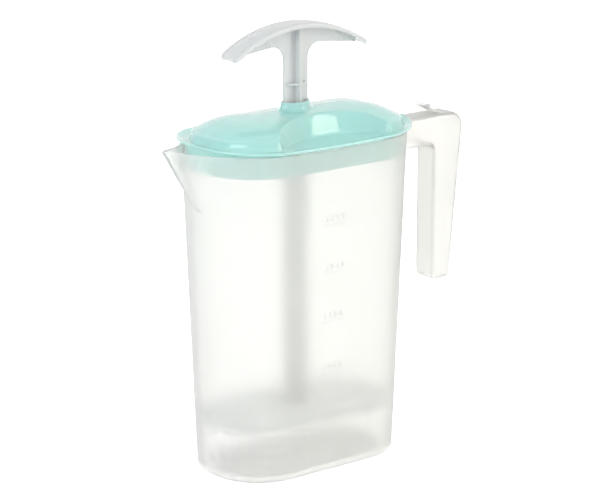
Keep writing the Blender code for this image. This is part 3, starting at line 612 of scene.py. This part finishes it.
# Lid. One moulding of mint-tinted polypropylene with a polished top: a flange whose
# ends turn up, a plug skirt that drops inside the jug's rim, a domed shell pinched by
# a finger scoop on each side, and a lens-shaped collar that guides the stem.
RIM_GAP = 0.0003
FLANGE_OVERHANG = 0.0016
FLANGE_END_OVERHANG = 0.0038
FLANGE_END_LIFT = 0.0028
BRIM_WIDTH = 0.0060
FLANGE_THICKNESS = 0.0020
FLANGE_EDGE_ROUND = 0.0008
FLANGE_EDGE_STEPS = 4
FLANGE_UNDER_ROUND = 0.0004
LID_WALL = 0.0016
SKIRT_DEPTH = 0.0160
SKIRT_CLEARANCE = 0.0004
SKIRT_EDGE_ROUND = 0.0004
DOME_INSET = 0.0086
DOME_SHIFT = 0.0022
DOME_STEP = 0.0066
DOME_STEP_LEAN = 0.0018
DOME_EDGE_ROUND = 0.0030
DOME_RISE = 0.0100
DOME_FULLNESS_POWER, DOME_RIDGE_SHARE = 3, 0.25
SCOOP_MIDDLE_X = 0.0080
SCOOP_MIDDLE_Y = 0.0556
SCOOP_WAIST = (0.0240, 0.0155)
SCOOP_SPOUT_REACH = (0.0560, 0.0590)
SCOOP_HANDLE_REACH = (0.0470, 0.0500)
SCOOP_CREASE = 0.0010
SCOOP_FOOT = 0.0030
COLLAR_TOP = 0.2620
COLLAR_WALL = 0.0012
COLLAR_FLARE = 0.0030
COLLAR_FLARE_RISE_SHARE = 1.5
COLLAR_FLARE_STEPS = 12
COLLAR_EDGE_ROUND = 0.0005
SMALL_EDGE_STEPS = 3
OUTER_BAND = 0.0160
OUTER_BAND_STEPS = 45
SHELL_STEPS = 60
SHELL_UNDER_STEPS, SHELL_UNDER_SPACING_POWER = 69, 0.8
SHELL_UNDER_START, SHELL_UNDER_END, SHELL_UNDER_DROP = 0.0003, 0.0004, 0.0001
SLOPE_STEP = 0.0004
MOST_WALL_STRETCH = 2.2
SEARCH_MARGIN, SEARCH_STEPS = 1.2, 30
LID_SEAT = BODY_HEIGHT + RIM_GAP
LID_TOP = LID_SEAT + FLANGE_THICKNESS
MINT_PLASTIC = (0.500, 0.885, 0.825)


def flange_size(inset):
    """The flange's half length, half width and corner, inset from its edge."""
    return (RIM_HALF_LENGTH + FLANGE_END_OVERHANG - inset, RIM_HALF_WIDTH + FLANGE_OVERHANG - inset,
            RIM_CORNER + FLANGE_OVERHANG - inset)


def inset_in(x, y, half_length, half_width, corner):
    """How far inside an oval's edge a point lies."""
    across, along = abs(x) - (half_length - corner), abs(y) - (half_width - corner)
    return corner - math.hypot(max(across, 0.0), max(along, 0.0)) - min(max(across, along), 0.0)


def oval_reach(turn, size):
    """How far an oval reaches from its middle in a direction."""
    cos, sin = math.cos(turn), math.sin(turn)
    near, far = 0.0, size[0] * SEARCH_MARGIN
    for _ in range(SEARCH_STEPS):
        middle = (near + far) / 2
        if inset_in(cos * middle, sin * middle, *size) > 0:
            near = middle
        else:
            far = middle
    return near


def soft_least(a, b, width):
    """The lesser of two values, eased where they meet."""
    overlap = max(width - abs(a - b), 0.0) / width
    return min(a, b) - overlap * overlap * width / 4


def soft_most(a, b, width):
    """The greater of two values, eased where they meet."""
    return -soft_least(-a, -b, width)


def dome_height(x, y):
    """The dome's height over the flange, before its scoops are taken out."""
    half_length, half_width, corner = flange_size(DOME_INSET)
    inset = inset_in(x - DOME_SHIFT, y, half_length + DOME_SHIFT, half_width, corner)
    if inset <= 0:
        return 0.0
    if inset < DOME_STEP_LEAN:
        return (DOME_STEP - DOME_EDGE_ROUND) * inset / DOME_STEP_LEAN
    if inset < DOME_STEP_LEAN + DOME_EDGE_ROUND:
        turn = math.acos(1 - (inset - DOME_STEP_LEAN) / DOME_EDGE_ROUND)
        return DOME_STEP - DOME_EDGE_ROUND * (1 - math.sin(turn))
    share = (inset - DOME_STEP_LEAN - DOME_EDGE_ROUND) / (half_width - DOME_STEP_LEAN - DOME_EDGE_ROUND)
    share = min(share, 1.0)
    fullness = 1 - (1 - share) ** DOME_FULLNESS_POWER
    return DOME_STEP + DOME_RISE * mix(fullness, share, DOME_RIDGE_SHARE)


def scoop_height(x, y):
    """The height of the finger scoops over the flange: steep walls on half ovals."""
    along = x - SCOOP_MIDDLE_X
    reach = SCOOP_HANDLE_REACH if along > 0 else SCOOP_SPOUT_REACH
    across = SCOOP_MIDDLE_Y - abs(y)
    at_foot, at_edge = [math.hypot(along / long, across / (SCOOP_MIDDLE_Y - waist))
                        for long, waist in zip(reach, SCOOP_WAIST)]
    wall = (at_foot - 1) / (at_foot - at_edge) * (DOME_STEP + DOME_RISE)
    return soft_most(0.0, wall, SCOOP_FOOT)


def lid_top(x, y):
    """The lid's upper surface: brim, flange, dome and scoops."""
    inset = inset_in(x, y, *flange_size(0.0))
    brim = max(0.0, 1 - inset / BRIM_WIDTH)
    lift = FLANGE_END_LIFT * (x / flange_size(0.0)[0]) ** 2 * brim * brim * (3 - 2 * brim)
    shell = soft_least(dome_height(x, y), scoop_height(x, y), SCOOP_CREASE)
    return LID_TOP + max(lift, shell)


def lid_point(turn, reach, thickness):
    """A point of the lid's shell, a thickness below its upper surface."""
    x, y = reach * math.cos(turn), reach * math.sin(turn)
    z = lid_top(x, y)
    if thickness == 0:
        return (x, y, z)
    across = (lid_top(x + SLOPE_STEP, y) - lid_top(x - SLOPE_STEP, y)) / (2 * SLOPE_STEP)
    along = (lid_top(x, y + SLOPE_STEP) - lid_top(x, y - SLOPE_STEP)) / (2 * SLOPE_STEP)
    stretch = min(math.sqrt(1 + across * across + along * along), MOST_WALL_STRETCH)
    return (x, y, z - thickness * stretch)


lid_edge = oval(*flange_size(0.0), arc_steps=60, end_steps=8, side_steps=60)
turns = [math.atan2(y, x) for x, y in lid_edge]
skirt_inset = BODY_WALL + SKIRT_CLEARANCE
collar_length = STEM_HALF_LENGTH + STEM_CLEARANCE * 2 + COLLAR_WALL
collar_width = STEM_HALF_WIDTH + STEM_CLEARANCE + COLLAR_WALL


def reaches(size):
    """An oval's reach in each of the lid's directions."""
    return [oval_reach(turn, size) for turn in turns]


def ring_at(reach_list, thickness):
    """A ring on the lid's shell, a thickness below its upper surface."""
    return [lid_point(turn, reach, thickness) for turn, reach in zip(turns, reach_list)]


def ring_of(reach_list, heights):
    """A ring from its reach and its height in each direction."""
    return [(r * math.cos(t), r * math.sin(t), z) for t, r, z in zip(turns, reach_list, heights)]


def level_ring(reach_list, level):
    """A ring at one height."""
    return ring_of(reach_list, [level] * len(turns))


def skirt_reach(level, inset):
    """The reach of the plug skirt, which follows the jug's tapered wall."""
    return reaches(body_size(min(level, BODY_HEIGHT), inset))


collar_reach = [lens_reach(turn, collar_length, collar_width) for turn in turns]
hole_reach = [lens_reach(turn, collar_length - COLLAR_WALL, collar_width - COLLAR_WALL)
              for turn in turns]
lid_rings = []
for turn in reversed(quarter_turns(SMALL_EDGE_STEPS)):
    drop, back = COLLAR_EDGE_ROUND * (1 - math.sin(turn)), COLLAR_EDGE_ROUND * (1 - math.cos(turn))
    lid_rings.append(level_ring([r - back for r in collar_reach], COLLAR_TOP - drop))
for turn in quarter_turns(COLLAR_FLARE_STEPS):
    out = COLLAR_FLARE * (1 - math.cos(turn))
    up = COLLAR_FLARE * COLLAR_FLARE_RISE_SHARE * (1 - math.sin(turn))
    ring = ring_at([r + out for r in collar_reach], 0.0)
    lid_rings.append([(x, y, z + up) for x, y, z in ring])
inner_oval = reaches(flange_size(OUTER_BAND))
for k in range(1, SHELL_STEPS):
    share = k / SHELL_STEPS
    ring = [mix(c + COLLAR_FLARE, o, share) for c, o in zip(collar_reach, inner_oval)]
    lid_rings.append(ring_at(ring, 0.0))
for k in range(OUTER_BAND_STEPS + 1):
    inset = mix(OUTER_BAND, FLANGE_EDGE_ROUND, k / OUTER_BAND_STEPS)
    lid_rings.append(ring_at(reaches(flange_size(inset)), 0.0))
edge_reach = reaches(flange_size(0.0))
brim_lift = [FLANGE_END_LIFT * (r * math.cos(t) / flange_size(0.0)[0]) ** 2
             for t, r in zip(turns, edge_reach)]
for turn in quarter_turns(FLANGE_EDGE_STEPS, 1):
    drop, back = FLANGE_EDGE_ROUND * (1 - math.cos(turn)), FLANGE_EDGE_ROUND * (1 - math.sin(turn))
    lid_rings.append(ring_of([r - back for r in edge_reach],
                             [LID_TOP + lift - drop for lift in brim_lift]))
for turn in quarter_turns(SMALL_EDGE_STEPS):
    drop, back = FLANGE_UNDER_ROUND * math.sin(turn), FLANGE_UNDER_ROUND * (1 - math.cos(turn))
    lid_rings.append(ring_of([r - back for r in edge_reach],
                             [LID_SEAT + FLANGE_UNDER_ROUND + lift - drop for lift in brim_lift]))
skirt_low = LID_SEAT - SKIRT_DEPTH
skirt_middle = mix(LID_SEAT, skirt_low, 0.5)
skirt_round = skirt_low + SKIRT_EDGE_ROUND
for extra, level in ((0.0, LID_SEAT), (0.0, skirt_middle), (0.0, skirt_round),
                     (SKIRT_EDGE_ROUND, skirt_low), (LID_WALL - SKIRT_EDGE_ROUND, skirt_low),
                     (LID_WALL, skirt_round), (LID_WALL, skirt_middle),
                     (LID_WALL, LID_TOP - LID_WALL - SHELL_UNDER_DROP)):
    lid_rings.append(level_ring(skirt_reach(level, skirt_inset + extra), level))
under_start = skirt_reach(BODY_HEIGHT, skirt_inset + LID_WALL + SHELL_UNDER_START)
under_end = [r + SHELL_UNDER_END for r in hole_reach]
for k in range(SHELL_UNDER_STEPS + 1):
    share = (k / SHELL_UNDER_STEPS) ** SHELL_UNDER_SPACING_POWER
    ring = [mix(a, b, share) for a, b in zip(under_start, under_end)]
    lid_rings.append(ring_at(ring, LID_WALL))
lid_rings.append(ring_of(hole_reach, [z for x, y, z in lid_rings[-1]]))
lid_rings.append(level_ring(hole_reach, COLLAR_TOP))
lid = skin("lid_moulding", lid_rings, closed_loop=True)
mint_plastic = moulded_plastic("mint plastic", MINT_PLASTIC, see_through=0.35, milk=0.5,
                               roughness=0.08, cloud=0.02, grain=0.02, bend=1.45, polish=0.9)
lid.data.materials.append(mint_plastic)
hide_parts("lid")
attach(lid, "lid")

# White table. A matt table top that the jug stands on and throws its shadow on. It glows
# a little where it is seen straight, through plastic or mirrored, and so stays white.
TABLE_HALF = 4
TABLE_WHITE = (0.88, 0.88, 0.88, 1.0)
TABLE_ROUGHNESS = 0.9
TABLE_SHEEN = 0.1
TABLE_GLOW = 0.55
PURE_WHITE = (1.0, 1.0, 1.0, 1.0)


def seen_share(nodes, links):
    """A socket that is 1 for camera, transmission and glossy rays and 0 for all others."""
    ray = nodes.new("ShaderNodeLightPath")
    share = ray.outputs["Is Camera Ray"]
    for kind in ("Is Transmission Ray", "Is Glossy Ray"):
        most = nodes.new("ShaderNodeMath")
        most.operation = "MAXIMUM"
        links.new(share, most.inputs[0])
        links.new(ray.outputs[kind], most.inputs[1])
        share = most.outputs["Value"]
    return share


floor_mesh = bpy.data.meshes.new("floor")
floor_corners = [(-TABLE_HALF, -TABLE_HALF, 0), (TABLE_HALF, -TABLE_HALF, 0),
                 (TABLE_HALF, TABLE_HALF, 0), (-TABLE_HALF, TABLE_HALF, 0)]
floor_mesh.from_pydata(floor_corners, [], [(0, 1, 2, 3)])
floor = bpy.data.objects.new("floor", floor_mesh)
bpy.context.scene.collection.objects.link(floor)
floor_finish = bpy.data.materials.new("white table")
floor_finish.use_nodes = True
table_nodes, table_links = floor_finish.node_tree.nodes, floor_finish.node_tree.links
table_shader = table_nodes["Principled BSDF"]
table_shader.inputs["Base Color"].default_value = TABLE_WHITE
table_shader.inputs["Roughness"].default_value = TABLE_ROUGHNESS
table_shader.inputs["Specular IOR Level"].default_value = TABLE_SHEEN
glow = table_nodes.new("ShaderNodeMath")
glow.operation = "MULTIPLY"
glow.inputs[1].default_value = TABLE_GLOW
table_links.new(seen_share(table_nodes, table_links), glow.inputs[0])
table_shader.inputs["Emission Color"].default_value = PURE_WHITE
table_links.new(glow.outputs["Value"], table_shader.inputs["Emission Strength"])
floor_mesh.materials.append(floor_finish)

# White room. Soft light from all round, a little dimmer on the object than the white
# that is seen straight, through plastic or mirrored.
ROOM_LIGHT, ROOM_SEEN = 0.92, 1.0
world = bpy.data.worlds.new("white room")
bpy.context.scene.world = world
world.use_nodes = True
room_nodes, room_links = world.node_tree.nodes, world.node_tree.links
room = room_nodes["Background"]
room.inputs["Color"].default_value = PURE_WHITE
room_strength = room_nodes.new("ShaderNodeMapRange")
room_strength.inputs["To Min"].default_value = ROOM_LIGHT
room_strength.inputs["To Max"].default_value = ROOM_SEEN
room_links.new(seen_share(room_nodes, room_links), room_strength.inputs["Value"])
room_links.new(room_strength.outputs["Result"], room.inputs["Strength"])

# Lamps. Two large soft ones, a cool one at the spout's end and a warm one on the
# graduated side, for the jug's cool and warm edges in the photograph.
LAMP_SIZE = 0.8
LAMP_WATTS = 6.5
COOL_LIGHT, WARM_LIGHT = (0.84, 0.92, 1.0), (1.0, 0.94, 0.80)


def soft_lamp(name, place, aim, colour):
    """A large square lamp aimed at a point."""
    light = bpy.data.lights.new(name, "AREA")
    light.size = LAMP_SIZE
    light.energy = LAMP_WATTS
    light.color = colour
    lamp = bpy.data.objects.new(name, light)
    bpy.context.scene.collection.objects.link(lamp)
    lamp.location = place
    lamp.rotation_mode = "QUATERNION"
    lamp.rotation_quaternion = (Vector(aim) - Vector(place)).to_track_quat("-Z", "Y")


soft_lamp("left lamp", place=(-1.3, -0.5, 0.7), aim=(0, 0, 0.2), colour=COOL_LIGHT)
soft_lamp("right lamp", place=(0.9, -1.2, 0.9), aim=(0, 0, 0.15), colour=WARM_LIGHT)

# Camera. It stands where the photograph's did, fitted to the jug's outline; its distance
# and its shifts are in pixels of that picture.
CAMERA_TURN = math.radians(37.0)
CAMERA_TILT = math.radians(15.636)
PIXELS_PER_METRE = 1371.0
CAMERA_DISTANCE = 2443.85
CAMERA_SIDE, CAMERA_LIFT = 4.516, 202.257
PICTURE_WIDTH = 600
SENSOR_WIDTH = 36.0
FARTHEST_SEEN = 20.0
right = Vector((math.cos(CAMERA_TURN), -math.sin(CAMERA_TURN), 0.0))
back = Vector((-math.sin(CAMERA_TURN) * math.cos(CAMERA_TILT),
               -math.cos(CAMERA_TURN) * math.cos(CAMERA_TILT), math.sin(CAMERA_TILT)))
up = back.cross(right)
camera_data = bpy.data.cameras.new("camera")
camera_data.sensor_width = SENSOR_WIDTH
camera_data.lens = SENSOR_WIDTH * CAMERA_DISTANCE / PICTURE_WIDTH
camera_data.clip_end = FARTHEST_SEEN
camera = bpy.data.objects.new("camera", camera_data)
bpy.context.scene.collection.objects.link(camera)
camera.location = (right * CAMERA_SIDE + up * CAMERA_LIFT + back * CAMERA_DISTANCE) / PIXELS_PER_METRE
camera.rotation_mode = "QUATERNION"
camera.rotation_quaternion = (-back).to_track_quat("-Z", "Y")
bpy.context.scene.camera = camera
bpy.context.scene.view_settings.view_transform = "Standard"
